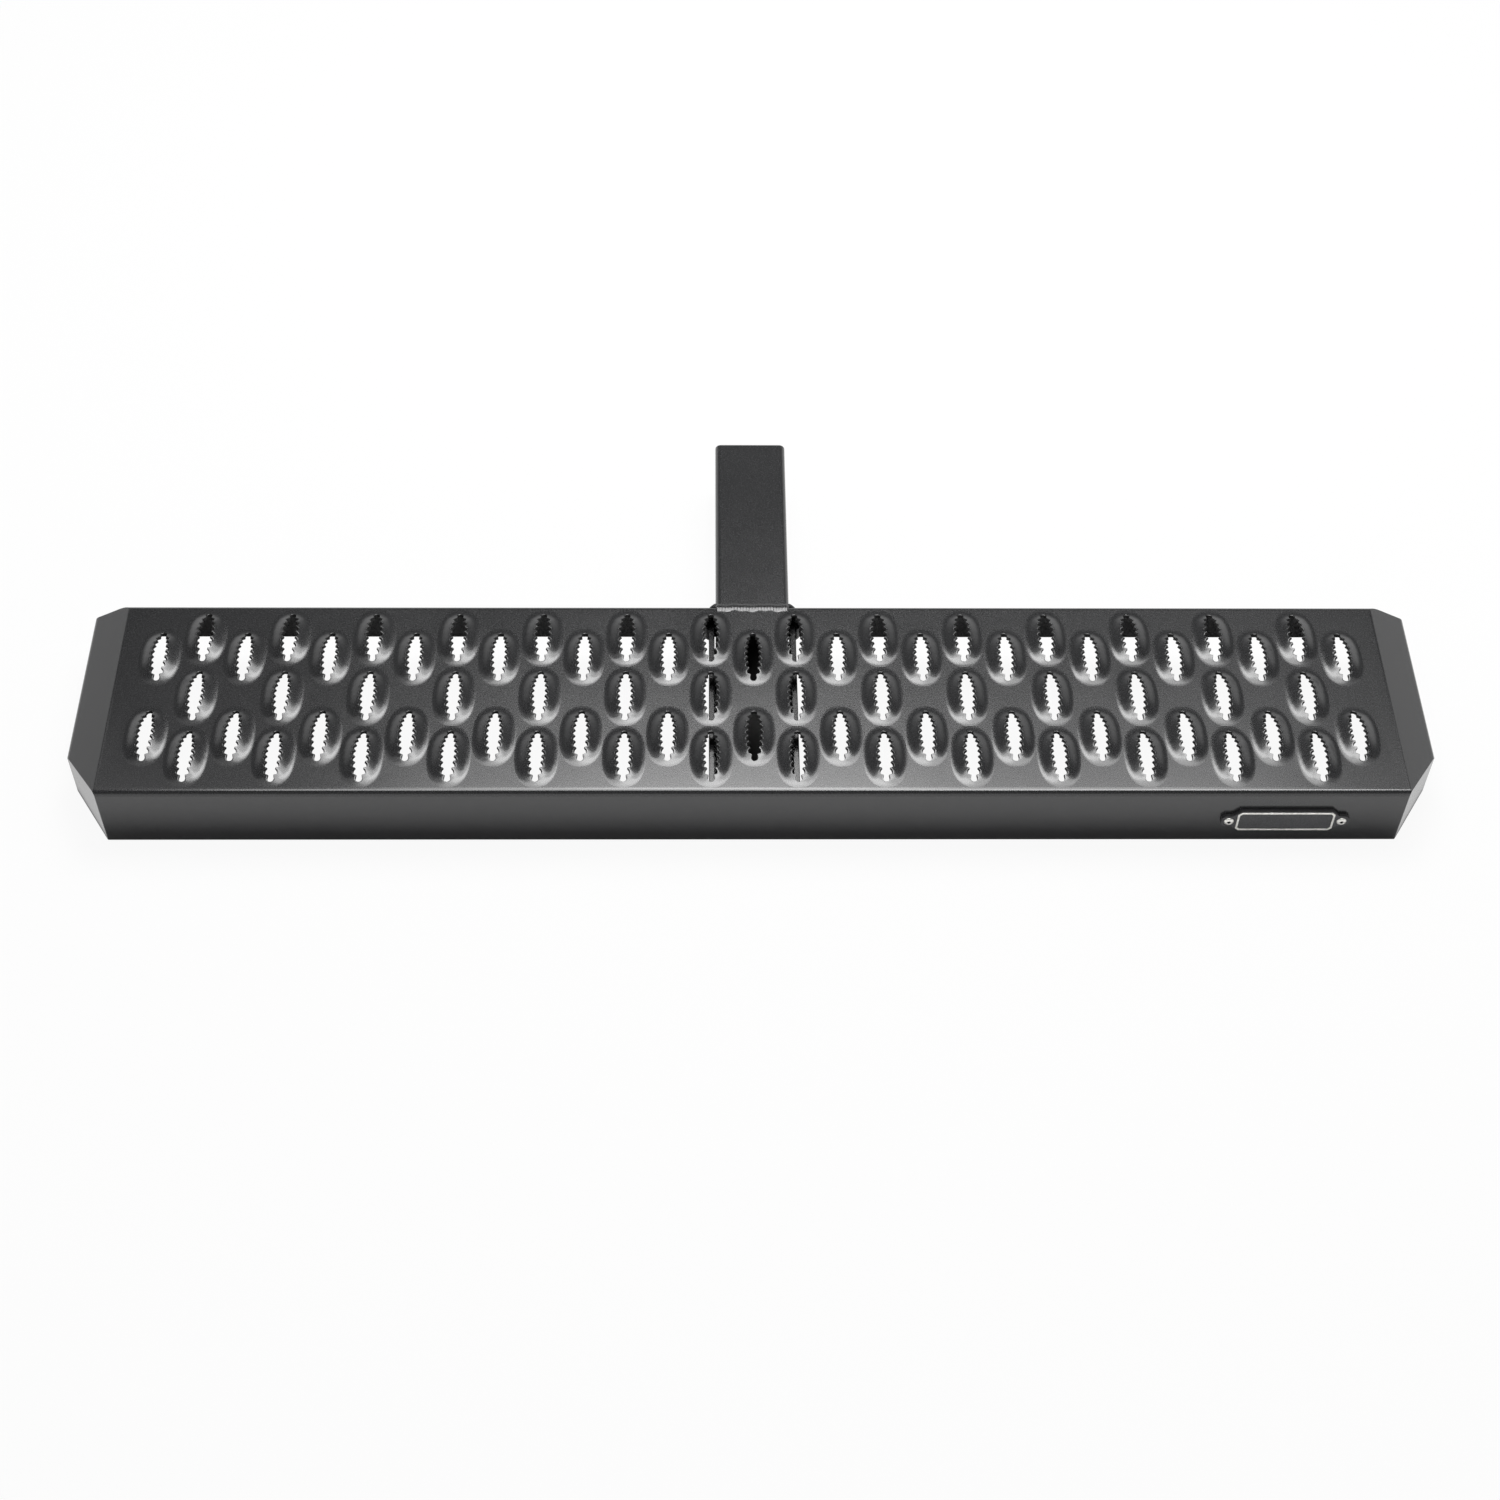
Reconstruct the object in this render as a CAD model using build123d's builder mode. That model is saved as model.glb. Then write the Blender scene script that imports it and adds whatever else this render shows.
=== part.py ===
from build123d import *

import os
from math import atan2, degrees

# Hitch receiver step: a folded sheet-steel tread with raised, serrated grip domes, welded across the
# end of a square receiver tube. Sizes are in millimetres. X runs along the tread, +Y points into the
# vehicle's receiver and +Z is up. The origin is the centre of the hitch pin hole.

# Receiver tube
tube_size = 50.8  # outside width and height
tube_wall = 4.8
tube_corner_radius = 4.0  # outside
shank_length = 158.75  # tube behind the tread
pin_diameter = 15.875
pin_clearance = 0.8  # on the diameter
pin_setback = 63.5  # pin centre to the tube's open end

# Tread sheet
tread_length = 914.4
tread_depth = 165.1
sheet = 3.0
wall_height = tube_size  # front, corner and end walls, level with the tube's bottom
flange_height = 30.0  # back flange
bend_radius = 4.5  # outside
corner_radius = 1.5  # upright edges of the cut front corners
end_run = 26.9  # sloped end panel along X
end_drop = 14.3
corner_run = 41.8  # cut front corner along Y

# Grip domes: columns of two and of three by turns
grip_pitch = 28.8  # column to column
grip_end_margin = 20.0  # least room from a column's centre to the end bend
grip_edge_margin = 30.5  # outer row's centre to the tread's edge
pair_row_share = 2 / 3  # pair rows, as a share of the outer row's offset
dome_width = 27.0
dome_length = 50.0  # over its pointed ends
dome_straight = 20.0  # straight middle of each side
dome_run = 10.0  # its sides slope in by this much
dome_rise = 4.8  # while they rise by this much

# Serrated slot in each dome
slot_length = 42.7
slot_tip_width = 3.9  # that the lens narrows to
slot_root_width = 11.6  # across the notch roots, mid-length
slot_tooth_width = 7.2  # across the tooth tips, mid-length
teeth_per_side = 4

# Gusset plates under the tread, either side of the tube
gusset_thickness = 4.0
gusset_gap = 0.8  # to the tube's side
gusset_drop = 8.0  # top edge below the tread's underside
gusset_clip = 6.0  # cut back corners
cope_clearance = 1.5  # under the back flange

# Weld beads
bead_leg = 4.5  # tube to back flange
bead_crown = 1.2  # top bead above the tread
bead_toe = 3.5  # top bead's reach onto the tube
bead_root_angle = 35.0  # where the top bead starts on the bend, above level
gusset_bead_leg = 4.0

# Badge plate and its rivets on the front wall
badge_end_margin = 78.3  # badge's centre to the end bend
badge_drop = 27.5  # below the tread's top
badge_length = 66.0
badge_height = 20.0
badge_thickness = 2.6
badge_corner_cut = 2.5
rivet_spacing = 75.0
rivet_ear_height = 10.0
rivet_head_diameter = 6.7
rivet_head_height = 1.3
rivet_shank_diameter = 3.2
rivet_hole_clearance = 0.2  # on the diameter
rivet_tail_diameter = 5.0
rivet_tail_length = 2.0

# Places that follow from the sizes
tread_top = tube_size / 2
tube_bottom = -tube_size / 2
tube_end = pin_setback
back_y = pin_setback - shank_length
front_y = back_y - tread_depth
middle_y = (front_y + back_y) / 2
wall_bottom = tread_top - wall_height
flange_bottom = tread_top - flange_height
underside = tread_top - sheet
half_length = tread_length / 2
half_flat = half_length - end_run
open_side = wall_height  # how far cutting tools run past an open side
gusset_inner = tube_size / 2 + gusset_gap
gusset_outer = gusset_inner + gusset_thickness
gusset_bottom = tube_bottom + tube_corner_radius + gusset_bead_leg
gusset_top = underside - gusset_drop
badge_face = Plane.XZ.offset(-front_y)
badge_spot = (half_flat - badge_end_margin, tread_top - badge_drop)
rivet_hole_diameter = rivet_shank_diameter + rivet_hole_clearance


def folded_form(inset, bottom):
    """Solid that the tread's skin wraps, moved in by inset and reaching down to bottom."""
    bend = bend_radius - inset
    with BuildPart() as form:
        with BuildSketch(Plane.YZ) as side_view:
            with BuildLine():
                Polyline(
                    (front_y + inset, bottom),
                    (front_y + inset, tread_top - inset),
                    (back_y - inset, tread_top - inset),
                    (back_y - inset, bottom),
                    close=True,
                )
            make_face()
            fillet(side_view.vertices().group_by(Axis.Y)[-1], radius=bend)
        extrude(amount=half_length, both=True)
        with BuildSketch(Plane.XZ.offset(-middle_y)) as front_view:
            with BuildLine():
                Polyline(
                    (-half_length, bottom - inset),
                    (-half_length, tread_top - end_drop),
                    (-half_flat, tread_top),
                    (half_flat, tread_top),
                    (half_length, tread_top - end_drop),
                    (half_length, bottom - inset),
                    close=True,
                )
            make_face()
            if inset:
                offset(amount=-inset, kind=Kind.INTERSECTION, mode=Mode.REPLACE)
            fillet(front_view.vertices().group_by(Axis.Y)[1:], radius=bend)
        extrude(amount=tread_depth, both=True, mode=Mode.INTERSECT)
        with BuildSketch(Plane.XY) as plan:
            with BuildLine():
                Polyline(
                    (-half_length, back_y),
                    (-half_length, front_y + corner_run),
                    (-half_flat, front_y),
                    (half_flat, front_y),
                    (half_length, front_y + corner_run),
                    (half_length, back_y),
                    close=True,
                )
            make_face()
            if inset:
                offset(amount=-inset, kind=Kind.INTERSECTION, mode=Mode.REPLACE)
            else:
                fillet(plan.vertices().group_by(Axis.Y)[:-1], radius=corner_radius)
        extrude(amount=wall_height + open_side, both=True, mode=Mode.INTERSECT)
    return form.part


def dome_outline():
    """Corners of the dome's base: straight sides that close to a point at both ends."""
    side = dome_width / 2
    straight = dome_straight / 2
    point = dome_length / 2
    right = [(side, -straight), (side, straight), (0, point)]
    return right + [(-x, -y) for x, y in right]


def slot_outline():
    """Corners of the serrated slot: teeth point inwards from a lens that runs out at both tips."""
    steps = 2 * teeth_per_side + 2
    side = []
    for k in range(1, steps):
        along = 2 * k / steps - 1
        middle_width = slot_root_width if k % 2 else slot_tooth_width
        width = slot_tip_width + (middle_width - slot_tip_width) * (1 - along**2)
        side.append((width / 2, along * slot_length / 2))
    tip = slot_length / 2
    return [(0, -tip), *side, (0, tip), *[(-x, y) for x, y in reversed(side)]]


# One grip dome, its base on the tread's top
with BuildPart() as dome:
    with BuildSketch(Plane.XY.offset(tread_top)):
        Polygon(*dome_outline(), align=None)
    extrude(amount=dome_rise, taper=degrees(atan2(dome_run, dome_rise)))

# Tread: folded skin, domes pressed up from below and the slots punched through them
pair_columns = 1 + 2 * int((half_flat - grip_end_margin) / (2 * grip_pitch))
triple_columns = 2 * int((half_flat - grip_end_margin + grip_pitch) / (2 * grip_pitch))
outer_row = tread_depth / 2 - grip_edge_margin
pair_grid = GridLocations(2 * grip_pitch, 2 * pair_row_share * outer_row, pair_columns, 2)
triple_grid = GridLocations(2 * grip_pitch, outer_row, triple_columns, 3)
grip_spots = [(spot.position.X, spot.position.Y + middle_y) for spot in [*pair_grid, *triple_grid]]
outer_skin = folded_form(0, wall_bottom)
inner_room = folded_form(sheet, wall_bottom - open_side)

with BuildPart() as tread:
    add(outer_skin)
    add(inner_room, mode=Mode.SUBTRACT)
    with BuildSketch(Plane.XZ.offset(-back_y)):
        with Locations((0, flange_bottom)):
            Rectangle(tread_length - 2 * sheet, wall_height, align=(Align.CENTER, Align.MAX))
    extrude(amount=sheet, mode=Mode.SUBTRACT)
    with BuildSketch(badge_face):
        with Locations(badge_spot):
            with GridLocations(rivet_spacing, 0, 2, 1):
                Circle(rivet_hole_diameter / 2)
    extrude(amount=-sheet, mode=Mode.SUBTRACT)
    with Locations(*grip_spots):
        add(dome.part, clean=False)
    with Locations(*[(x, y, -sheet) for x, y in grip_spots]):
        add(dome.part, mode=Mode.SUBTRACT, clean=False)
    with BuildSketch(Plane.XY.offset(tread_top + dome_rise)):
        with Locations(*grip_spots):
            Polygon(*slot_outline(), align=None)
    extrude(amount=-(dome_rise + 2 * sheet), mode=Mode.SUBTRACT, clean=False)
tread.part.label = "tread"

# Receiver tube: butts against the back flange, and its lower part runs on under the tread to the
# front wall as a shallow tray
with BuildPart() as hitch_tube:
    with BuildSketch(Plane.XZ.offset(-tube_end)):
        RectangleRounded(tube_size, tube_size, tube_corner_radius)
        bore_size = tube_size - 2 * tube_wall
        Rectangle(bore_size, bore_size, mode=Mode.SUBTRACT)
    extrude(amount=tube_end - front_y - sheet)
    with BuildSketch(Plane.XZ.offset(-back_y)):
        with Locations((0, flange_bottom - cope_clearance)):
            Rectangle(tube_size, tube_size, align=(Align.CENTER, Align.MIN))
    extrude(amount=tread_depth, mode=Mode.SUBTRACT)
    with BuildSketch(Plane.YZ):
        Circle((pin_diameter + pin_clearance) / 2)
    extrude(amount=tube_size, both=True, mode=Mode.SUBTRACT)
hitch_tube.part.label = "hitch_tube"

# Gusset plates: from the front wall to the back flange, clear of the tread's underside
with BuildPart() as gusset_right:
    with BuildSketch(Plane.YZ.offset(gusset_inner)) as gusset_face:
        with BuildLine():
            Polyline(
                (front_y + sheet, gusset_bottom),
                (front_y + sheet, gusset_top),
                (back_y - sheet, gusset_top),
                (back_y - sheet, gusset_bottom),
                close=True,
            )
        make_face()
        chamfer(gusset_face.vertices().group_by(Axis.Y)[-1], length=gusset_clip)
    extrude(amount=gusset_thickness)
gusset_right.part.label = "gusset_right"

with BuildPart() as gusset_left:
    mirror(gusset_right.part, about=Plane.YZ)
gusset_left.part.label = "gusset_left"

# Bead across the tube's top, in the groove beside the back bend
with BuildPart() as weld_top:
    with BuildSketch(Plane.YZ):
        bend_centre = Vector(back_y - bend_radius, tread_top - bend_radius)
        bead_root = bend_centre + Vector(bend_radius, 0).rotate(Axis.Z, bead_root_angle)
        bend_middle = bend_centre + Vector(bend_radius, 0).rotate(Axis.Z, (bead_root_angle + 90) / 2)
        bead_edge = Vector(bend_centre.X, tread_top)
        crown_middle = Vector((bead_edge.X + back_y + bead_toe) / 2, tread_top + bead_crown)
        with BuildLine():
            ThreePointArc(bead_root, bend_middle, bead_edge)
            ThreePointArc(bead_edge, crown_middle, (back_y + bead_toe, tread_top))
            Polyline((back_y + bead_toe, tread_top), (back_y, tread_top), (back_y, bead_root.Y), bead_root)
        make_face()
    extrude(amount=tube_size / 2, both=True)
weld_top.part.label = "weld_top"

# Beads down both sides of the tube, on the back flange
tube_bead = [(0, 0), (bead_leg, 0), (0, bead_leg)]
gusset_bead = [(0, 0), (gusset_bead_leg, 0), (0, gusset_bead_leg)]

with BuildPart() as weld_right:
    with BuildSketch(Plane((tube_size / 2, back_y, flange_bottom))):
        Polygon(*tube_bead, align=None)
    extrude(amount=flange_height - max(bend_radius, tube_corner_radius))
weld_right.part.label = "weld_right"

with BuildPart() as weld_left:
    mirror(weld_right.part, about=Plane.YZ)
weld_left.part.label = "weld_left"

# Beads under the gussets' lower edges, along the sides of the tube
with BuildPart() as weld_lap_right:
    lap_start = (tube_size / 2, front_y + sheet, gusset_bottom)
    with BuildSketch(Plane(lap_start, x_dir=(1, 0, 0), z_dir=(0, 1, 0))):
        Polygon(*gusset_bead, align=None)
    extrude(amount=tread_depth - 2 * sheet)
weld_lap_right.part.label = "weld_lap_right"

with BuildPart() as weld_lap_left:
    mirror(weld_lap_right.part, about=Plane.YZ)
weld_lap_left.part.label = "weld_lap_left"

# Beads between the gussets' outer faces and the front wall
with BuildPart() as weld_front_right:
    with BuildSketch(Plane((gusset_outer, front_y + sheet, gusset_bottom))):
        Polygon(*gusset_bead, align=None)
    extrude(amount=gusset_top - gusset_bottom)
weld_front_right.part.label = "weld_front_right"

with BuildPart() as weld_front_left:
    mirror(weld_front_right.part, about=Plane.YZ)
weld_front_left.part.label = "weld_front_left"

# Beads between the gussets' outer faces and the back flange
with BuildPart() as weld_back_right:
    back_start = (gusset_outer, back_y - sheet, flange_bottom)
    with BuildSketch(Plane(back_start, x_dir=(0, -1, 0), z_dir=(0, 0, 1))):
        Polygon(*gusset_bead, align=None)
    extrude(amount=gusset_top - gusset_clip - flange_bottom)
weld_back_right.part.label = "weld_back_right"

with BuildPart() as weld_back_left:
    mirror(weld_back_right.part, about=Plane.YZ)
weld_back_left.part.label = "weld_back_left"

# Bare badge plate on the front wall, with an ear for each rivet
with BuildPart() as badge_plate:
    with BuildSketch(badge_face) as plate_face:
        with Locations(badge_spot):
            Rectangle(badge_length, badge_height)
            Rectangle(rivet_spacing + rivet_ear_height, rivet_ear_height)
            chamfer(plate_face.vertices(), length=badge_corner_cut)
            with GridLocations(rivet_spacing, 0, 2, 1):
                Circle(rivet_hole_diameter / 2, mode=Mode.SUBTRACT)
    extrude(amount=badge_thickness)
badge_plate.part.label = "badge_plate"

# Rivets: a low head on the plate, a shank through plate and wall, and a set tail behind the wall
with BuildPart() as rivet:
    head_radius = rivet_head_diameter / 2
    shank_radius = rivet_shank_diameter / 2
    tail_radius = rivet_tail_diameter / 2
    grip_length = badge_thickness + sheet
    with BuildSketch(Plane.XZ):
        with BuildLine():
            Polyline(
                (0, rivet_head_height),
                (head_radius, rivet_head_height),
                (head_radius, 0),
                (shank_radius, 0),
                (shank_radius, -grip_length),
                (tail_radius, -grip_length),
                (tail_radius, -grip_length - rivet_tail_length),
                (0, -grip_length - rivet_tail_length),
                close=True,
            )
        make_face()
    revolve(axis=Axis.Z)

with BuildPart(badge_face.offset(badge_thickness)) as badge_rivets:
    with Locations(badge_spot):
        with GridLocations(rivet_spacing, 0, 2, 1):
            add(rivet.part)
badge_rivets.part.label = "badge_rivets"

os.makedirs("parts", exist_ok=True)
sub_parts = [
    tread,
    hitch_tube,
    gusset_left,
    gusset_right,
    weld_top,
    weld_left,
    weld_right,
    weld_lap_left,
    weld_lap_right,
    weld_front_left,
    weld_front_right,
    weld_back_left,
    weld_back_right,
    badge_plate,
    badge_rivets,
]
for piece in sub_parts:
    export_step(piece.part, f"parts/{piece.part.label}.step")
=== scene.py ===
import math

import bmesh
import bpy
from mathutils import Matrix, Vector


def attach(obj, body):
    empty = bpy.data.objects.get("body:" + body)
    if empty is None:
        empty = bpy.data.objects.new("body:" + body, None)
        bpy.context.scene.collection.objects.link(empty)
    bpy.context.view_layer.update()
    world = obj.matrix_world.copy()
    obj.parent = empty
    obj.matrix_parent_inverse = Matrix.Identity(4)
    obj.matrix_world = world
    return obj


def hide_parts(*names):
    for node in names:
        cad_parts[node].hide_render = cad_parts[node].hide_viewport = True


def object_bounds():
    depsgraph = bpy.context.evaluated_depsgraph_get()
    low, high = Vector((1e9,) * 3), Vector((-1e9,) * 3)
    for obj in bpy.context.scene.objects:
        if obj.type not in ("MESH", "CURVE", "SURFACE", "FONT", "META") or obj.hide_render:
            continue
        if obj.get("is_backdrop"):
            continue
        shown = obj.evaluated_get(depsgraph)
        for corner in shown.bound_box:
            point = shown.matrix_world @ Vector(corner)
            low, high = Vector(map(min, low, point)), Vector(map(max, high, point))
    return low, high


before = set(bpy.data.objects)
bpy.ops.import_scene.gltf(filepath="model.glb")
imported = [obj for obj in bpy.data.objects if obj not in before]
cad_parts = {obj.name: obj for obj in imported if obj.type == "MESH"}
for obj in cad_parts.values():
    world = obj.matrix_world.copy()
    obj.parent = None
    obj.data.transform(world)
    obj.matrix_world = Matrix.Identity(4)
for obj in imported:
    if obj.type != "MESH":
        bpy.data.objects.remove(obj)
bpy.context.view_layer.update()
scene = bpy.context.scene
mm = 0.001
near = 0.01 * mm  # closer than this is the same place
print("frame loaded,", len(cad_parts), "nodes")


class Term:  # one node output; arithmetic on it adds Math nodes
    def __init__(self, graph, socket):
        self.graph = graph
        self.socket = socket

    def calc(self, operation, first, second):
        return self.graph.node("ShaderNodeMath", {"operation": operation}, {0: first, 1: second})

    def __add__(self, other):
        return self.calc("ADD", self, other)

    def __radd__(self, other):
        return self.calc("ADD", other, self)

    def __sub__(self, other):
        return self.calc("SUBTRACT", self, other)

    def __rsub__(self, other):
        return self.calc("SUBTRACT", other, self)

    def __mul__(self, other):
        return self.calc("MULTIPLY", self, other)

    def __rmul__(self, other):
        return self.calc("MULTIPLY", other, self)

    def size(self):
        return self.calc("ABSOLUTE", self, 0.0)

    def larger(self, other):
        return self.calc("MAXIMUM", self, other)


class Graph:  # a node tree with one way to add a node
    def __init__(self, tree):
        self.tree = tree
        tree.nodes.clear()

    def node(self, kind, settings=None, sockets=None, output=0):
        made = self.tree.nodes.new(kind)
        for key, value in (settings or {}).items():
            setattr(made, key, value)
        for key, value in (sockets or {}).items():
            for part in value if isinstance(value, list) else [value]:
                if isinstance(part, Term):
                    self.tree.links.new(part.socket, made.inputs[key])
                else:
                    made.inputs[key].default_value = part
        return Term(self, made.outputs[output]) if len(made.outputs) else None

    def noise(self, place, scale, detail=2.0, roughness=0.5):
        return self.node(
            "ShaderNodeTexNoise",
            {"noise_dimensions": "3D"},
            {"Vector": place, "Scale": scale, "Detail": detail, "Roughness": roughness},
        )

    def ranged(self, value, low, high, newLow=0.0, newHigh=1.0):
        return self.node(
            "ShaderNodeMapRange",
            {"interpolation_type": "SMOOTHSTEP"},
            {"Value": value, "From Min": low, "From Max": high, "To Min": newLow, "To Max": newHigh},
        )

    def mixed(self, factor, first, second):
        return self.node("ShaderNodeMix", {"data_type": "RGBA"}, {0: factor, 6: first, 7: second}, 2)


def newMaterial(name):
    material = bpy.data.materials.new(name)
    material.use_nodes = True
    return material, Graph(material.node_tree)


def principled(graph, sockets):
    shader = graph.node("ShaderNodeBsdfPrincipled", None, sockets)
    graph.node("ShaderNodeOutputMaterial", None, {"Surface": shader})


# Powder coat: fine pebbled grain, faint speckle, slow drift in sheen
coatLook = {
    "dark": (0.017, 0.0172, 0.0182, 1.0),
    "pale": (0.030, 0.0305, 0.032, 1.0),
    "grain": 1050.0,
    "pebble": 420.0,
    "drift": 16.0,
    "roughness": 0.20,
    "specular": 0.75,
    "bump": 0.16,
    "depth": 0.00005,
}
# the tread's slot walls carry a painted shade: a near-black colour for the shadow inside the slots
treadLook = dict(coatLook, cut="cut", cutShadeColour=(0.004, 0.004, 0.0042, 1.0), cutRoughness=0.75)
tubeLook = dict(
    coatLook, bore=(20.75, 20.85), boreShadeColour=(0.012, 0.0115, 0.011, 1.0), boreRoughness=0.8
)  # bore: where the painted shade inside ends and the coat starts, from the middle


def coatMaterial(name, look):
    material, graph = newMaterial(name)
    place = graph.node("ShaderNodeTexCoord", None, None, "Object")
    grain = graph.noise(place, look["grain"], 2.0, 0.6)
    pebble = graph.noise(place, look["pebble"], 1.0, 0.5)
    drift = graph.noise(place, look["drift"], 3.0, 0.55)
    speckle = graph.ranged(grain, 0.40, 0.72)
    height = grain * 0.55 + pebble * 0.45
    bump = graph.node(
        "ShaderNodeBump", None, {"Strength": look["bump"], "Distance": look["depth"], "Height": height}
    )
    colour = graph.mixed(speckle * 0.75 + drift * 0.25, look["dark"], look["pale"])
    rough = look["roughness"] + (drift - 0.5) * 0.06 + (grain - 0.5) * 0.08
    if "cut" in look:  # painted shade: the punched slot walls are painted near-black for the shadow inside the slots, and are made rougher
        cut = graph.node("ShaderNodeAttribute", {"attribute_name": look["cut"]}, None, "Fac")
        colour = graph.mixed(cut, colour, look["cutShadeColour"])
        rough = rough + cut * (look["cutRoughness"] - rough)
    if "bore" in look:  # painted shade: the tube's inside is painted near-black for the shadow in it, and is made rougher
        across = graph.node("ShaderNodeSeparateXYZ", None, {"Vector": place}, "X").size()
        upright = graph.node("ShaderNodeSeparateXYZ", None, {"Vector": place}, "Z").size()
        inner, outer = look["bore"]
        outside = graph.ranged(across.larger(upright), inner * mm, outer * mm)
        colour = graph.mixed(outside, look["boreShadeColour"], colour)
        rough = look["boreRoughness"] + outside * (rough - look["boreRoughness"])
    principled(
        graph,
        {
            "Base Color": colour,
            "Roughness": rough,
            "Specular IOR Level": look["specular"],
            "Normal": bump,
        },
    )
    return material


coat = coatMaterial("powderCoat", coatLook)
treadCoat = coatMaterial("treadCoat", treadLook)
tubeCoat = coatMaterial("tubeCoat", tubeLook)
beadLook = dict(coatLook, roughness=0.24, depth=0.00004, pebble=600.0)
beadCoat = coatMaterial("coatedWeld", beadLook)

# Badge plate, its bright rim and the rivets
plateLook = {
    "dark": (0.030, 0.030, 0.033, 1.0),
    "pale": (0.075, 0.075, 0.08, 1.0),
    "grain": 1800.0,
    "smudge": 90.0,
    "roughness": 0.46,
    "bump": 0.4,
    "depth": 0.00006,
}
silverLook = {
    "dull": (0.66, 0.65, 0.62, 1.0),
    "clean": (0.92, 0.91, 0.87, 1.0),
    "tarnish": 420.0,
    "scuff": 1500.0,
    "roughness": 0.34,
    "bump": 0.25,
    "depth": 0.00005,
}
rivetLook = dict(
    silverLook,
    spots=((0.3145, -0.0021), (0.3895, -0.0021)),  # X and Z of the stems
    stem=0.00105,
    # near-black stem colour: darker steel, plus a painted shade of the dimple
    stemAndShadeColour=(0.03, 0.03, 0.03, 1.0),
)


def plateMaterial(name, look):
    material, graph = newMaterial(name)
    place = graph.node("ShaderNodeTexCoord", None, None, "Object")
    grain = graph.noise(place, look["grain"], 2.0, 0.6)
    smudge = graph.noise(place, look["smudge"], 3.0, 0.6)
    bump = graph.node(
        "ShaderNodeBump", None, {"Strength": look["bump"], "Distance": look["depth"], "Height": grain}
    )
    principled(
        graph,
        {
            "Base Color": graph.mixed(graph.ranged(grain, 0.35, 0.75), look["dark"], look["pale"]),
            "Roughness": look["roughness"] + (smudge - 0.5) * 0.2,
            "Normal": bump,
        },
    )
    return material


def silverMaterial(name, look):
    material, graph = newMaterial(name)
    place = graph.node("ShaderNodeTexCoord", None, None, "Object")
    dulled = graph.noise(place, look["tarnish"], 4.0, 0.65)
    scuff = graph.noise(place, look["scuff"], 2.0, 0.5)
    bump = graph.node(
        "ShaderNodeBump", None, {"Strength": look["bump"], "Distance": look["depth"], "Height": scuff}
    )
    colour = graph.mixed(graph.ranged(dulled, 0.35, 0.7), look["clean"], look["dull"])
    for x, z in look.get("spots", ()):  # the stem left in each rivet's dimple is painted near-black: partly its own darker steel, partly a painted shade of the dimple's hollow
        across = graph.node("ShaderNodeSeparateXYZ", None, {"Vector": place}, "X") - x
        upright = graph.node("ShaderNodeSeparateXYZ", None, {"Vector": place}, "Z") - z
        away = across * across + upright * upright
        rim = graph.ranged(away, look["stem"] ** 2, (look["stem"] * 1.25) ** 2)
        colour = graph.mixed(rim, look["stemAndShadeColour"], colour)
    principled(
        graph,
        {
            "Base Color": colour,
            "Metallic": 1.0,
            "Roughness": look["roughness"] + (dulled - 0.5) * 0.25,
            "Normal": bump,
        },
    )
    return material


plateFinish = plateMaterial("badgePlate", plateLook)
silver = silverMaterial("dulledSilver", silverLook)
rivetMetal = silverMaterial("rivetMetal", rivetLook)
print("finishes made")


# Mesh helpers
def meshObject(name, bm):
    mesh = bpy.data.meshes.new(name)
    bm.to_mesh(mesh)
    bm.free()
    obj = bpy.data.objects.new(name, mesh)
    scene.collection.objects.link(obj)
    return obj


def flatten(obj):  # modifiers become plain mesh
    depsgraph = bpy.context.evaluated_depsgraph_get()
    mesh = bpy.data.meshes.new_from_object(
        obj.evaluated_get(depsgraph), preserve_all_data_layers=True, depsgraph=depsgraph
    )
    obj.modifiers.clear()
    old = obj.data
    obj.data = mesh
    bpy.data.meshes.remove(old)
    mesh.name = obj.name


def cadCopy(node):  # merged copy of a CAD node
    bm = bmesh.new()
    bm.from_mesh(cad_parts[node].data)
    bmesh.ops.remove_doubles(bm, verts=bm.verts[:], dist=0.002 * mm)
    return bm


def wholeFaces(bm):  # triangles of one flat or one straight edge become one again
    bmesh.ops.dissolve_limit(bm, angle_limit=math.radians(0.4), verts=bm.verts[:], edges=bm.edges[:])


def easeEdges(obj, width, segments=2, angle=30.0):
    bevel = obj.modifiers.new("edges", "BEVEL")
    bevel.width = width * mm
    bevel.segments = segments
    bevel.limit_method = "ANGLE"
    bevel.angle_limit = math.radians(angle)
    bevel.miter_outer = "MITER_ARC"
    flatten(obj)


def shade(obj, material, sharp=42.0):
    obj.data.materials.clear()
    obj.data.materials.append(material)
    obj.data.shade_smooth()
    obj.data.set_sharp_from_angle(angle=math.radians(sharp))
    normals = obj.modifiers.new("normals", "WEIGHTED_NORMAL")
    normals.keep_sharp = True
    normals.weight = 60
    flatten(obj)


def place(obj, slot, *nodes):
    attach(obj, "root")
    if nodes:
        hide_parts(*nodes)


def nodeGroup(name, inputs):
    tree = bpy.data.node_groups.new(name, "GeometryNodeTree")
    tree.interface.new_socket("Geometry", in_out="INPUT", socket_type="NodeSocketGeometry")
    for label, kind in inputs.items():
        tree.interface.new_socket(label, in_out="INPUT", socket_type=kind)
    tree.interface.new_socket("Geometry", in_out="OUTPUT", socket_type="NodeSocketGeometry")
    graph = Graph(tree)
    source = tree.nodes.new("NodeGroupInput")
    terms = {label: Term(graph, source.outputs[label]) for label in ["Geometry", *inputs]}
    return tree, graph, terms


def runNodes(obj, tree, values):
    modifier = obj.modifiers.new(tree.name, "NODES")
    modifier.node_group = tree
    for item in tree.interface.items_tree:
        if item.in_out == "INPUT" and item.name in values:
            modifier[item.identifier] = values[item.name]
    flatten(obj)


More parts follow.
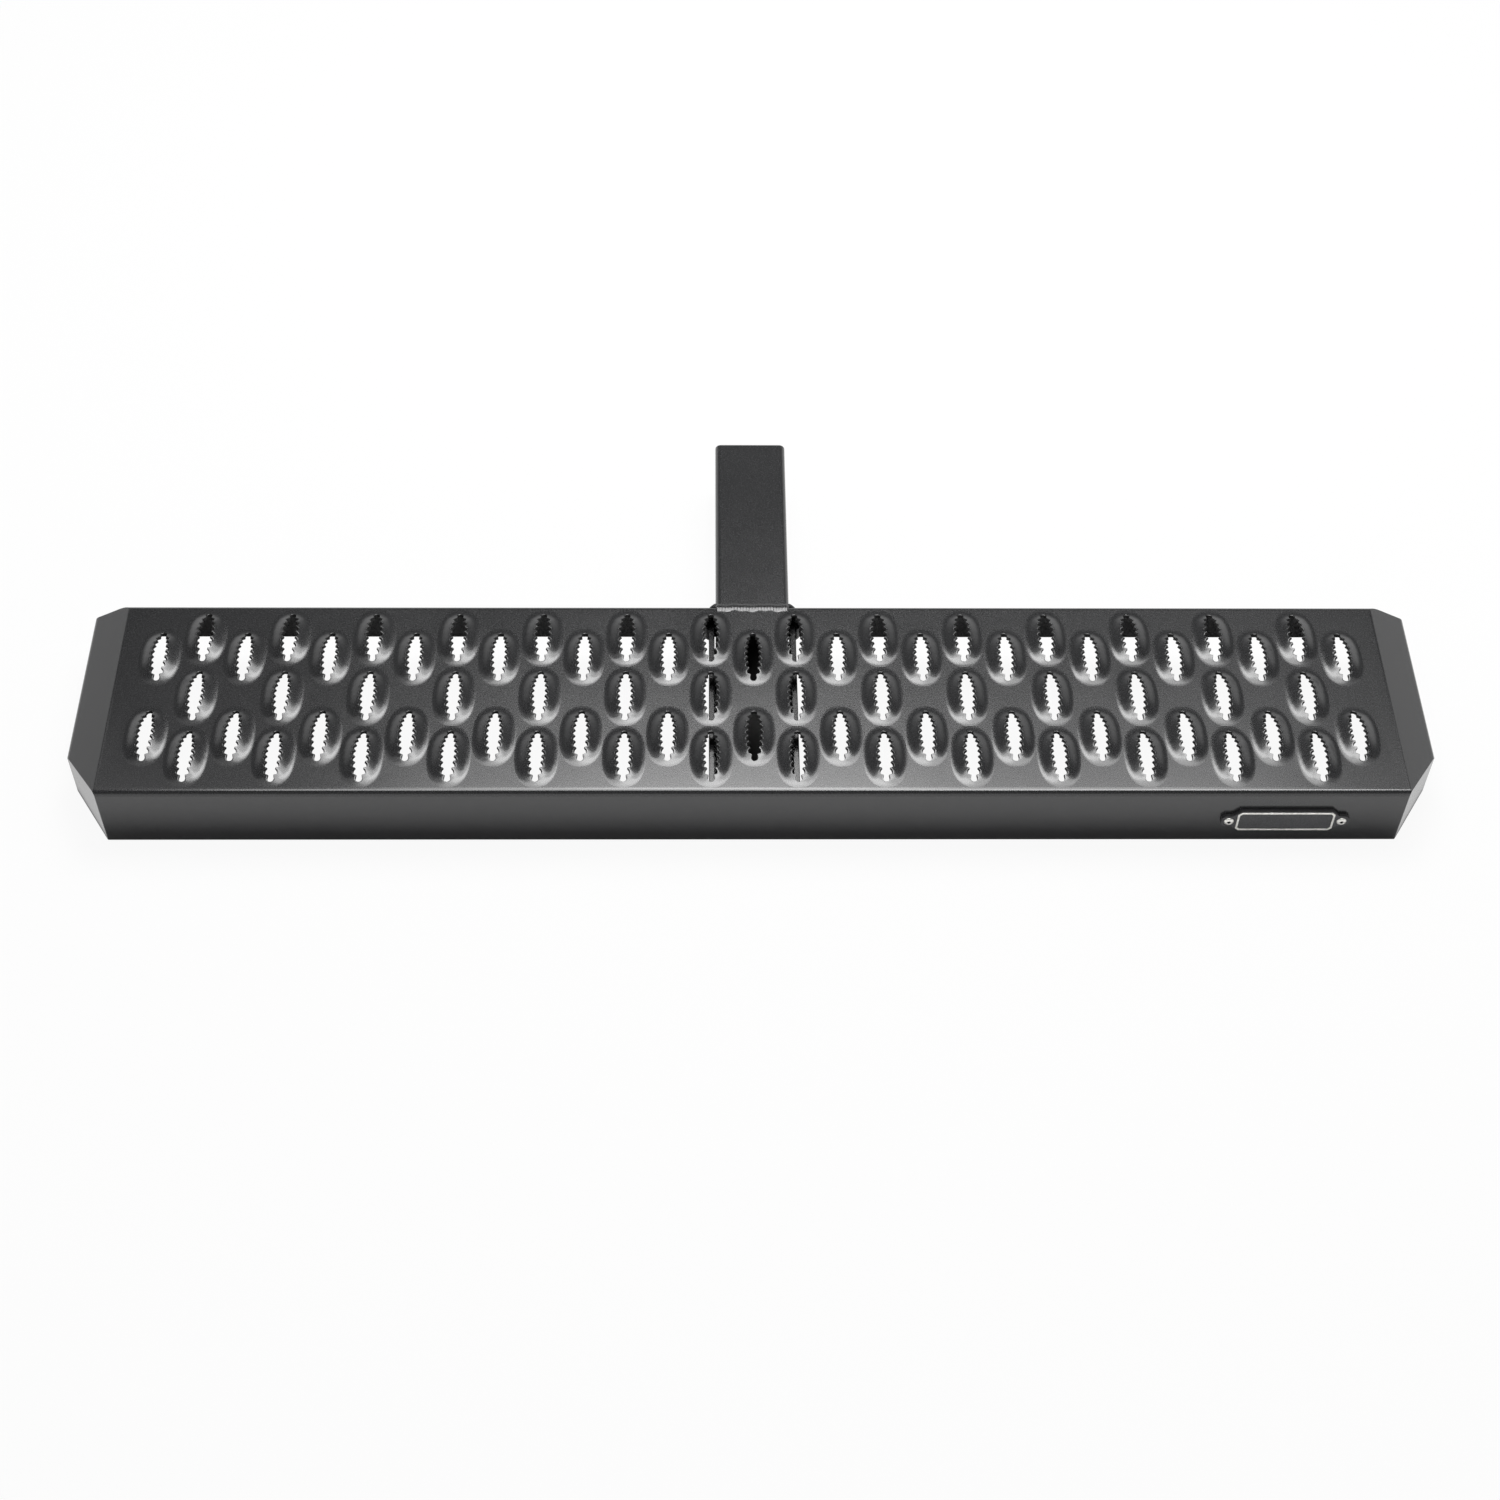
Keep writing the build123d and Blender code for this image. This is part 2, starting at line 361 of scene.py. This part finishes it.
# Tread: the folded skin follows the solid; domes and their serrated slots are pressed in by nodes
gripSizes = {
    "pitch": 28.8,
    "pairColumns": 15,
    "tripleColumns": 14,
    "pairRow": 34.7,
    "outerRow": 52.05,
    "middleY": -177.8,
    "top": 25.4,
    "sheet": 3.0,
    "lip": 2.2,  # the pressed edge is stretched thinner
    "baseX": 12.45,  # half width and length of the pressed form
    "baseY": 19.4,
    "powerX": 1.35,  # near 1 is a ridge, 2 and more is round
    "powerY": 2.5,
    "blendX": 0.28,  # softness of the skirt at the sides, and of its long run-out at the ends
    "blendY": 0.25,
    "rise": 6.1,
    "endWidth": 0.13,  # the ends narrow towards this share of the width
    "endPower": 2.25,
    "rimX": 14.75,  # half size of the patch round it
    "rimY": 25.9,
    "rimPower": 2.5,  # 2 is an ellipse
    "rimSpread": 1.2,
    "toothPitch": 4.9,
    "toothSteps": 7,  # half pitches from the slot's middle to its last tooth
    "rootWidth": 6.1,
    "rootReach": 28.0,
    "rootHalf": 1.2,
    "rootRound": 0.35,
    "tipWidth": 4.4,
    "tipReach": 23.0,
    "tipHalf": 0.4,
    "endRadius": 2.3,
    "endCentre": 19.1,
    "endSteps": 6,
    "edge": 0.18,
    "skinEdge": 0.4,
    "topShares": [0.14, 0.30, 0.46, 0.60, 0.72, 0.84, 0.93, 1.0],  # rings from the slot to the rim
    "underShares": [0.0, 0.45, 0.80, 1.0],
}


def domeHeight(x, y):
    size = gripSizes
    end = min(abs(y) / size["rimY"], 1) ** size["endPower"]
    width = size["baseX"] * (1 - (1 - size["endWidth"]) * end) ** (1 / size["endPower"])
    lift = 1 - (abs(x) / width) ** size["powerX"]
    soft = max(size["blendX"] - abs(lift), 0)
    across = max(lift, 0) + soft * soft / (4 * size["blendX"])
    lift = 1 - (abs(y) / size["baseY"]) ** size["powerY"]
    along = size["blendY"] * math.log(1 + math.exp(lift / size["blendY"]))
    return size["rise"] * across * along


def domeSpot(x, y, depth, flat):  # a point that far under the dome's top face
    step = 0.05
    slopeX = (domeHeight(x + step, y) - domeHeight(x - step, y)) / (2 * step)
    slopeY = (domeHeight(x, y + step) - domeHeight(x, y - step)) / (2 * step)
    up = Vector((0, 0, 1)) if flat else Vector((-slopeX, -slopeY, 1)).normalized()
    height = 0 if flat else domeHeight(x, y)
    return (Vector((x, y, gripSizes["top"] + height)) - up * depth) * mm


def slotRing():  # points round the serrated slot and the matching angle on the patch, one half turn
    size = gripSizes
    points = []
    last = size["toothSteps"]
    for n in range(-last, last + 1):  # even steps are notch roots, odd ones tooth tips
        y = n * size["toothPitch"] / 2
        if n % 2 == 0:
            width = size["rootWidth"] * (1 - (y / size["rootReach"]) ** 2)
            side, half = width - size["rootRound"], size["rootHalf"]
            points += [(side, y - half), (width, y), (side, y + half)]
        else:
            width = size["tipWidth"] * (1 - (y / size["tipReach"]) ** 2)
            points += [(width, y - size["tipHalf"]), (width, y + size["tipHalf"])]
    points = [(x, y, rimTurn(y)) for x, y in points]
    first = points[-1][2]
    steps = size["endSteps"]
    for step in range(steps + 1):
        angle = math.pi * step / steps
        x = size["endRadius"] * math.cos(angle)
        y = size["endCentre"] + size["endRadius"] * math.sin(angle)
        points.append((x, y, first + (math.pi - 2 * first) * (step + 1) / (steps + 2)))
    return points


def rimTurn(y):  # angle on the patch's outline beside a slot point
    share = gripSizes["rimSpread"] * abs(y) / gripSizes["rimY"]
    return math.copysign(math.asin(share ** (gripSizes["rimPower"] / 2)), y)


def rimPoint(turn):
    power = 2 / gripSizes["rimPower"]
    x, y = math.cos(turn), math.sin(turn)
    return (
        math.copysign(gripSizes["rimX"] * abs(x) ** power, x),
        math.copysign(gripSizes["rimY"] * abs(y) ** power, y),
    )


def slotAndRim():
    half = [((x, y), rimPoint(turn)) for x, y, turn in slotRing()]
    return half + [((-x, -y), (-rx, -ry)) for (x, y), (rx, ry) in half]


def domeObject():
    bm = bmesh.new()
    cut = bm.faces.layers.float.new("cut")
    pairs = slotAndRim()
    sheet, lip = gripSizes["sheet"], gripSizes["lip"]
    edge = gripSizes["edge"]

    def ring(share, depth):
        verts = []
        for (sx, sy), (rx, ry) in pairs:
            x = sx + (rx - sx) * share
            y = sy + (ry - sy) * share
            verts.append(bm.verts.new(domeSpot(x, y, depth, share == 1.0)))
        return verts

    def easedRing():
        verts = []
        for (sx, sy), (rx, ry) in pairs:
            step = edge / math.hypot(rx - sx, ry - sy)
            x, y = sx + (rx - sx) * step, sy + (ry - sy) * step
            verts.append(bm.verts.new(domeSpot(x, y, 0.0, False)))
        return verts

    # dull marks faces for the painted shade of the slot walls, and for their extra roughness
    def strip(inner, outer, dull=0.0):
        for k in range(len(inner)):
            n = (k + 1) % len(inner)
            face = bm.faces.new((inner[k], outer[k], outer[n], inner[n]))
            face[cut] = dull

    upper = [ring(0.0, edge), easedRing()] + [ring(share, 0.0) for share in gripSizes["topShares"]]
    under = [ring(share, lip + (sheet - lip) * share) for share in gripSizes["underShares"]]
    for inner, outer in zip(upper, upper[1:]):
        strip(inner, outer)
    for inner, outer in zip(under, under[1:]):
        strip(outer, inner)
    # the slot walls are marked for the painted shade in the tread's coat
    strip(under[0], upper[0], 1.0)
    return meshObject("dome", bm)


def loopObject(name, points):
    bm = bmesh.new()
    verts = [bm.verts.new((x, y, 0.0)) for x, y in points]
    for k in range(len(verts)):
        bm.edges.new((verts[k], verts[(k + 1) % len(verts)]))
    return meshObject(name, bm)


def openFlat(bm):  # takes the flats and the plain domes out of the skin
    top = gripSizes["top"] * mm
    flat = [v.co for v in bm.verts if abs(v.co.z - top) < near]
    reachX = max(abs(p.x) for p in flat) + near
    frontY = min(p.y for p in flat) - near
    backY = max(p.y for p in flat) + near
    lowest = top - gripSizes["sheet"] * mm - near

    def inside(p):
        return abs(p.x) < reachX and frontY < p.y < backY and p.z > lowest

    gone = [f for f in bm.faces if all(inside(v.co) for v in f.verts)]
    bmesh.ops.delete(bm, geom=gone, context="FACES")
    loose = [v for v in bm.verts if not v.link_faces]
    bmesh.ops.delete(bm, geom=loose, context="VERTS")


def openLoop(mesh, level):  # ordered outline of the hole left at that height
    bm = bmesh.new()
    bm.from_mesh(mesh)

    def atLevel(edge):
        return all(abs(vert.co.z - level) < near for vert in edge.verts)

    edges = [e for e in bm.edges if e.is_boundary and atLevel(e)]
    start = edges[0].verts[0]
    points, last, vert = [], None, start
    while True:
        points.append((vert.co.x, vert.co.y))
        edge = next(e for e in vert.link_edges if e in edges and e is not last)
        last, vert = edge, edge.other_vert(vert)
        if vert is start:
            break
    bm.free()
    return points


def gripTree():
    tree, graph, given = nodeGroup(
        "gripField",
        {
            "Pitch": "NodeSocketFloat",
            "Pair Columns": "NodeSocketInt",
            "Triple Columns": "NodeSocketInt",
            "Pair Row": "NodeSocketFloat",
            "Outer Row": "NodeSocketFloat",
            "Middle": "NodeSocketFloat",
            "Top": "NodeSocketFloat",
            "Sheet": "NodeSocketFloat",
            "Merge": "NodeSocketFloat",
            "Dome": "NodeSocketObject",
            "Rim": "NodeSocketObject",
            "Top Outline": "NodeSocketObject",
            "Under Outline": "NodeSocketObject",
            "Finish": "NodeSocketMaterial",
        },
    )

    def grid(columns, rows, depth):
        sizes = {
            "Size X": (columns - 1) * 2 * given["Pitch"],
            "Size Y": depth * 2,
            "Vertices X": columns,
            "Vertices Y": rows,
        }
        return graph.node("GeometryNodeMeshGrid", None, sizes)

    def shape(label):
        return graph.node("GeometryNodeObjectInfo", None, {"Object": given[label]}, "Geometry")

    def moved(geometry, y, z):
        step = graph.node("ShaderNodeCombineXYZ", None, {"Y": y, "Z": z})
        return graph.node("GeometryNodeTransform", None, {"Geometry": geometry, "Translation": step})

    def joined(*parts):
        return graph.node("GeometryNodeJoinGeometry", None, {"Geometry": list(parts)})

    pairs = grid(given["Pair Columns"], 2, given["Pair Row"])
    triples = grid(given["Triple Columns"], 3, given["Outer Row"])
    spots = moved(joined(pairs, triples), given["Middle"], 0.0)

    def repeated(item):
        return graph.node("GeometryNodeInstanceOnPoints", None, {"Points": spots, "Instance": item})

    def whole(item):
        return graph.node("GeometryNodeRealizeInstances", None, {"Geometry": item})

    def outline(item):
        return graph.node("GeometryNodeMeshToCurve", None, {"Mesh": item})

    def perforated(label):
        curves = joined(outline(shape(label)), whole(repeated(outline(shape("Rim")))))
        return graph.node("GeometryNodeFillCurve", None, {"Curve": curves})

    upper = moved(perforated("Top Outline"), 0.0, given["Top"])
    lower = graph.node("GeometryNodeFlipFaces", None, {"Mesh": perforated("Under Outline")})
    lower = moved(lower, 0.0, given["Top"] - given["Sheet"])
    parts = whole(joined(given["Geometry"], upper, lower, repeated(shape("Dome"))))
    closed = graph.node(
        "GeometryNodeMergeByDistance", None, {"Geometry": parts, "Distance": given["Merge"]}
    )
    finish = graph.node(
        "GeometryNodeSetMaterial", None, {"Geometry": closed, "Material": given["Finish"]}
    )
    graph.node("NodeGroupOutput", None, {"Geometry": finish})
    return tree


def buildTread():
    bm = cadCopy("tread")
    openFlat(bm)
    wholeFaces(bm)
    skin = meshObject("treadSheet", bm)
    easeEdges(skin, gripSizes["skinEdge"])
    top = gripSizes["top"] * mm
    sheet = gripSizes["sheet"] * mm
    helpers = {
        "Dome": domeObject(),
        "Rim": loopObject("domeRim", [(x * mm, y * mm) for _, (x, y) in slotAndRim()]),
        "Top Outline": loopObject("topOutline", openLoop(skin.data, top)),
        "Under Outline": loopObject("underOutline", openLoop(skin.data, top - sheet)),
    }
    values = {
        "Pitch": gripSizes["pitch"] * mm,
        "Pair Columns": gripSizes["pairColumns"],
        "Triple Columns": gripSizes["tripleColumns"],
        "Pair Row": gripSizes["pairRow"] * mm,
        "Outer Row": gripSizes["outerRow"] * mm,
        "Middle": gripSizes["middleY"] * mm,
        "Top": top,
        "Sheet": sheet,
        "Merge": near,
        "Finish": treadCoat,
    }
    runNodes(skin, gripTree(), values | helpers)
    for helper in helpers.values():
        bpy.data.objects.remove(helper)
    shade(skin, treadCoat, 48.0)
    place(skin, "powder_coat", "tread")
    return skin


tread = buildTread()
check = bmesh.new()
check.from_mesh(tread.data)
triangles = sum(len(f.verts) - 2 for f in check.faces)
openEdges = sum(1 for e in check.edges if not e.is_manifold)
check.free()
print("tread: triangles", triangles, "open edges", openEdges)

# Tube and gussets: the solids with eased edges
plainEdges = {"hitch_tube": 0.6, "gusset_left": 0.4, "gusset_right": 0.4}
for node, width in plainEdges.items():
    bm = cadCopy(node)
    wholeFaces(bm)
    piece = meshObject(node + "_coated", bm)
    easeEdges(piece, width)
    shade(piece, tubeCoat if node == "hitch_tube" else coat)
    place(piece, "powder_coat", node)
print("tube and gussets done")

# Weld beads: rippled runs swept along the seams
beadSizes = {
    "ripple": 2.1,
    "rippleMean": 0.64,
    "stepsPerRipple": 7,
    "leastSteps": 12,
    "points": 9,
    "crown": 0.55,
    "swell": 0.22,
    "lag": 1.1,  # ripples bow along the run
    "wander": 0.07,
    "waves": ((1.0, 3.1, 0.0), (0.8, 1.37, 1.9)),  # of the wander: share, length and start
    "ends": 1.6,
    "endShare": 0.35,
    "toe": 0.96,  # share of the solid's leg
}
topBead = {  # points of its section: across the seam, then up
    "toes": ((-5.9, -0.1), (1.3, -0.1)),
    "root": (-1.6, -1.0),
    "hidden": ((0, -1.92), (-0.81, -1.92), (-2.1, -1.0)),
    "bulge": (-0.18, 1),
    "crown": 0.98,
}


def ripple(distance):
    return abs(math.sin(math.pi * distance / beadSizes["ripple"])) - beadSizes["rippleMean"]


def beadObject(node, seam, length, section, mirror):
    bm = bmesh.new()
    size = beadSizes
    steps = max(size["leastSteps"], round(length / size["ripple"] * size["stepsPerRipple"]))
    origin, sideways, outward, along = (Vector(v) for v in seam)
    root, bulge = Vector(section["root"]), Vector(section["bulge"]).normalized()
    first, second = (Vector(toe) for toe in section["toes"])
    rings = []
    for i in range(steps + 1):
        s = length * i / steps
        fromEnd = min(1.0, min(s, length - s) / size["ends"])
        ease = size["endShare"] + (1 - size["endShare"]) * math.sqrt(1 - (1 - fromEnd) ** 2)
        waves = sum(share * math.sin(s / wave + start) for share, wave, start in size["waves"])
        wander = size["wander"] * waves
        outline = []
        for k in range(size["points"] + 1):
            t = k / size["points"]
            hump = 4 * t * (1 - t)
            swell = size["swell"] * ripple(s + size["lag"] * (1 - hump)) * math.sqrt(hump)
            lift = section["crown"] * hump + swell
            spread = root + (first.lerp(second, t) - root) * (1 + wander * (1 - 2 * t))
            outline.append(root + (spread + bulge * lift - root) * ease)
        outline += [Vector(point) for point in section["hidden"]]
        ring = []
        for u, v in outline:
            spot = origin + sideways * u + outward * v + along * s
            ring.append(bm.verts.new((spot.x * mirror * mm, spot.y * mm, spot.z * mm)))
        rings.append(ring)
    count = len(rings[0])
    for low, high in zip(rings, rings[1:]):
        for k in range(count):
            n = (k + 1) % count
            bm.faces.new((low[k], low[n], high[n], high[k]))
    bm.faces.new(rings[0])
    bm.faces.new(rings[-1])
    bmesh.ops.recalc_face_normals(bm, faces=bm.faces[:])
    obj = meshObject(node + "_rippled", bm)
    shade(obj, beadCoat, 65.0)
    place(obj, "weld_bead", node)


backY, frontY, topZ, tubeHalf = -95.25, -260.35, 25.4, 25.4
topSeam = ((-tubeHalf, backY, topZ), (0, 1, 0), (0, 0, 1), (1, 0, 0))
beadObject("weld_top", topSeam, 2 * tubeHalf, topBead, 1)
runs = {  # seam start, the two legs' directions, run direction, length, leg
    "weld": ((tubeHalf, backY, -4.6), (1, 0, 0), (0, 1, 0), (0, 0, 1), 28.4, 4.5),
    "weld_lap": ((tubeHalf, frontY + 3, -17.4), (1, 0, 0), (0, 0, -1), (0, 1, 0), 159.1, 4.0),
    "weld_front": ((30.2, frontY + 3, -17.4), (1, 0, 0), (0, 1, 0), (0, 0, 1), 31.8, 4.0),
    "weld_back": ((30.2, backY - 3, -4.6), (0, -1, 0), (1, 0, 0), (0, 0, 1), 13.0, 4.0),
}
for name, (*seam, length, leg) in runs.items():
    toe = leg * beadSizes["toe"]
    section = {
        "toes": ((toe, 0.0), (0.0, toe)),
        "root": (0, 0),
        "hidden": ((0, 0),),
        "bulge": (1, 1),
        "crown": beadSizes["crown"],
    }
    for side, mirror in (("_left", -1), ("_right", 1)):
        beadObject(name + side, seam, length, section, mirror)
print("beads done")

# Badge: the bare plate with a bright raised rim, and two dimpled rivets
badgeSizes = {
    "centre": (352.0, -2.1),
    "face": -262.95,
    "outer": (64.6, 18.6, 2.2),  # length, height, corner cut
    "inner": (61.8, 15.8, 1.6),
    "rimHeight": 0.45,
    "sink": 0.1,
    "plateEdge": 0.35,
    "rimEdge": 0.18,
    "rivetSpacing": 75.0,
    "rivetSides": 28,
    "rivet": [  # radius and height, from the dimple to the set tail
        (0, 0.30), (0.85, 0.30), (1.05, 0.45), (1.2, 1.10), (1.4, 1.28), (1.9, 1.24), (2.6, 0.98),
        (3.15, 0.58), (3.35, 0.22), (3.35, 0.0), (1.6, 0.0), (1.6, -5.6), (2.5, -5.6), (2.5, -7.0),
        (2.15, -7.5), (0, -7.6),
    ],
}


def octagon(length, height, cut):
    x, z = length / 2, height / 2
    corner = [(x, z - cut), (x - cut, z)]
    points = []
    for sx, sz in ((1, 1), (-1, 1), (-1, -1), (1, -1)):
        part = [(sx * a, sz * b) for a, b in corner]
        points += part if sx * sz > 0 else part[::-1]
    return points


bm = cadCopy("badge_plate")
wholeFaces(bm)
plate = meshObject("badge_plate_bare", bm)
easeEdges(plate, badgeSizes["plateEdge"], 3)
shade(plate, plateFinish)
place(plate, "badge", "badge_plate")

bm = bmesh.new()
centreX, centreZ = badgeSizes["centre"]
levels = (badgeSizes["face"] + badgeSizes["sink"], badgeSizes["face"] - badgeSizes["rimHeight"])
rings = []
for outline, level in (("outer", 0), ("outer", 1), ("inner", 1), ("inner", 0)):
    ring = []
    for x, z in octagon(*badgeSizes[outline]):
        spot = ((centreX + x) * mm, levels[level] * mm, (centreZ + z) * mm)
        ring.append(bm.verts.new(spot))
    rings.append(ring)
for low, high in zip(rings, rings[1:] + rings[:1]):
    for k in range(len(low)):
        n = (k + 1) % len(low)
        bm.faces.new((low[k], low[n], high[n], high[k]))
bmesh.ops.recalc_face_normals(bm, faces=bm.faces[:])
rim = meshObject("badge_rim", bm)
easeEdges(rim, badgeSizes["rimEdge"], 3)
shade(rim, silver)
place(rim, "rivet")


def rivetObject():
    bm = bmesh.new()
    sides = badgeSizes["rivetSides"]
    rings = []
    for radius, height in badgeSizes["rivet"]:
        ring = []
        for k in range(sides if radius else 1):
            angle = 2 * math.pi * k / sides
            spot = (radius * math.cos(angle) * mm, -height * mm, radius * math.sin(angle) * mm)
            ring.append(bm.verts.new(spot))
        rings.append(ring)
    for low, high in zip(rings, rings[1:]):
        for k in range(sides):
            n = (k + 1) % sides
            corners = [low[k % len(low)], low[n % len(low)], high[n % len(high)], high[k % len(high)]]
            bm.faces.new(list(dict.fromkeys(corners)))
    bmesh.ops.recalc_face_normals(bm, faces=bm.faces[:])
    return meshObject("oneRivet", bm)


def rivetTree():
    tree, graph, given = nodeGroup(
        "rivetRow",
        {
            "Start": "NodeSocketVector",
            "Step": "NodeSocketVector",
            "Count": "NodeSocketInt",
            "Rivet": "NodeSocketObject",
            "Finish": "NodeSocketMaterial",
        },
    )
    row = graph.node(
        "GeometryNodeMeshLine",
        {"mode": "OFFSET"},
        {"Count": given["Count"], "Start Location": given["Start"], "Offset": given["Step"]},
    )
    shape = graph.node("GeometryNodeObjectInfo", None, {"Object": given["Rivet"]}, "Geometry")
    spots = graph.node("GeometryNodeInstanceOnPoints", None, {"Points": row, "Instance": shape})
    whole = graph.node("GeometryNodeRealizeInstances", None, {"Geometry": spots})
    finish = graph.node(
        "GeometryNodeSetMaterial", None, {"Geometry": whole, "Material": given["Finish"]}
    )
    graph.node("NodeGroupOutput", None, {"Geometry": finish})
    return tree


half = badgeSizes["rivetSpacing"] / 2
oneRivet = rivetObject()
rivets = meshObject("badge_rivets_dimpled", bmesh.new())
runNodes(
    rivets,
    rivetTree(),
    {
        "Start": ((centreX - half) * mm, badgeSizes["face"] * mm, centreZ * mm),
        "Step": (2 * half * mm, 0.0, 0.0),
        "Count": 2,
        "Rivet": oneRivet,
        "Finish": rivetMetal,
    },
)
bpy.data.objects.remove(oneRivet)
shade(rivets, rivetMetal, 50.0)
place(rivets, "rivet", "badge_rivets")
print("badge and rivets done")

# Stage: floor, light, camera
stageLook = {
    "floorSize": 8.0,
    "floorY": -0.1,
    "floorGap": 0.0002,
    "floorColour": (0.9, 0.9, 0.9, 1.0),
    "floorWhite": 0.93,
    "floorGlossy": 0.95,
    "print": (0.457, 0.0826, -0.0778),  # tread on the floor: its half size, and its middle along Y
    "shadow": (0.004, 0.045),
    "corner": (0.841, 0.541, 0.0226, 30.0),  # cut corner's direction and depth, and how short its shadow is
    "cornerStop": 100.0,  # keeps that behind the front wall
    "skyBand": (0.10, 0.50),
    "skyDim": 0.17,
    "skyBright": 1.0,
    "boxHeight": 1.5,
    "boxGap": 0.004,  # one above the other, so that each shows in reflections
    "boxes": {  # power, width, length, place along X and Y
        "core": (6.0, 0.46, 0.95, 0.03, 0.425),
        "wide": (18.0, 1.25, 0.95, 0.155, 0.425),
        "broad": (3.8, 2.2, 0.95, 0.1, 0.425),
        "rightBack": (0.45, 0.7, 0.9, 0.85, 1.15),
    },
    "cards": {  # show in the coat's sheen only, as a light line along the front bend
        "front": (12.5, 1.55, 0.45, 0.12, -0.275),
        "frontRight": (5.0, 0.8, 0.45, 0.5, -0.275),
    },
}
low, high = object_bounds()
bm = bmesh.new()
bmesh.ops.create_grid(bm, x_segments=1, y_segments=1, size=stageLook["floorSize"] / 2)
floor = meshObject("floor", bm)
floor.location = (0.0, stageLook["floorY"], low.z - stageLook["floorGap"])
floorMaterial, graph = newMaterial("paleFloor")
rays = graph.node("ShaderNodeLightPath", None, None, "Is Camera Ray")
path = rays.socket.node
glossy = Term(graph, path.outputs["Is Glossy Ray"])
seen = rays + Term(graph, path.outputs["Is Transmission Ray"])
spot = graph.node("ShaderNodeTexCoord", None, None, "Object")
halfX, halfY, middle = stageLook["print"]
acrossX = graph.node("ShaderNodeSeparateXYZ", None, {"Vector": spot}, "X").size() - halfX
acrossY = (graph.node("ShaderNodeSeparateXYZ", None, {"Vector": spot}, "Y") - middle).size() - halfY
leanX, leanY, cornerCut, cornerShare = stageLook["corner"]
corner = (acrossX * leanX + acrossY * leanY + cornerCut) * cornerShare
corner = corner - acrossY.larger(0.0) * stageLook["cornerStop"]
outside = acrossX.larger(acrossY).larger(corner)
clear = graph.ranged(outside, *stageLook["shadow"])  # reflections keep the shadow
share = seen * stageLook["floorWhite"] + glossy * clear * stageLook["floorGlossy"]
matte = graph.node("ShaderNodeBsdfDiffuse", None, {"Color": stageLook["floorColour"]})
white = graph.node("ShaderNodeEmission", None, {"Color": (1.0, 1.0, 1.0, 1.0), "Strength": 1.0})
blend = graph.node("ShaderNodeMixShader", None, {0: share, 1: matte, 2: white})
graph.node("ShaderNodeOutputMaterial", None, {"Surface": blend})
floor.data.materials.append(floorMaterial)
floor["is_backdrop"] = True

world = bpy.data.worlds.new("studio")
scene.world = world
world.use_nodes = True
graph = Graph(world.node_tree)
aim = graph.node("ShaderNodeTexCoord", None, None, "Generated")
upward = graph.node("ShaderNodeSeparateXYZ", None, {"Vector": aim}, "Z")
glow = graph.ranged(upward, *stageLook["skyBand"], stageLook["skyBright"], stageLook["skyDim"])
sky = graph.node("ShaderNodeBackground", None, {"Color": (1.0, 1.0, 1.0, 1.0), "Strength": glow})
graph.node("ShaderNodeOutputWorld", None, {"Surface": sky})


def softbox(name, power, width, length, location):  # faces straight down
    data = bpy.data.lights.new(name, "AREA")
    data.shape = "RECTANGLE"
    data.size = width
    data.size_y = length
    data.energy = power
    lamp = bpy.data.objects.new(name, data)
    lamp.location = location
    scene.collection.objects.link(lamp)
    return lamp


height = stageLook["boxHeight"]
for kind in ("boxes", "cards"):
    for name, (power, width, length, x, y) in stageLook[kind].items():
        lamp = softbox(name, power, width, length, (x, y, height))
        lamp.visible_diffuse = kind == "boxes"
        height += stageLook["boxGap"]

cameraLook = {  # angles in degrees
    "lens": 59.17,
    "sensor": 36.0,
    "place": (-0.03062, -1.2472, 1.29715),
    "pan": -1.549,
    "down": 51.181,
    "roll": 1.208,
}
camera = bpy.data.objects.new("camera", bpy.data.cameras.new("camera"))
scene.collection.objects.link(camera)
scene.camera = camera
camera.data.lens = cameraLook["lens"]
camera.data.sensor_width = cameraLook["sensor"]
turns = ((cameraLook["pan"], "Z"), (90 - cameraLook["down"], "X"), (cameraLook["roll"], "Z"))
turn = Matrix.Identity(4)
for angle, axis in turns:
    turn = turn @ Matrix.Rotation(math.radians(angle), 4, axis)
camera.matrix_world = Matrix.Translation(cameraLook["place"]) @ turn
scene.view_settings.view_transform = "Standard"
print("stage set")

low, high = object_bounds()
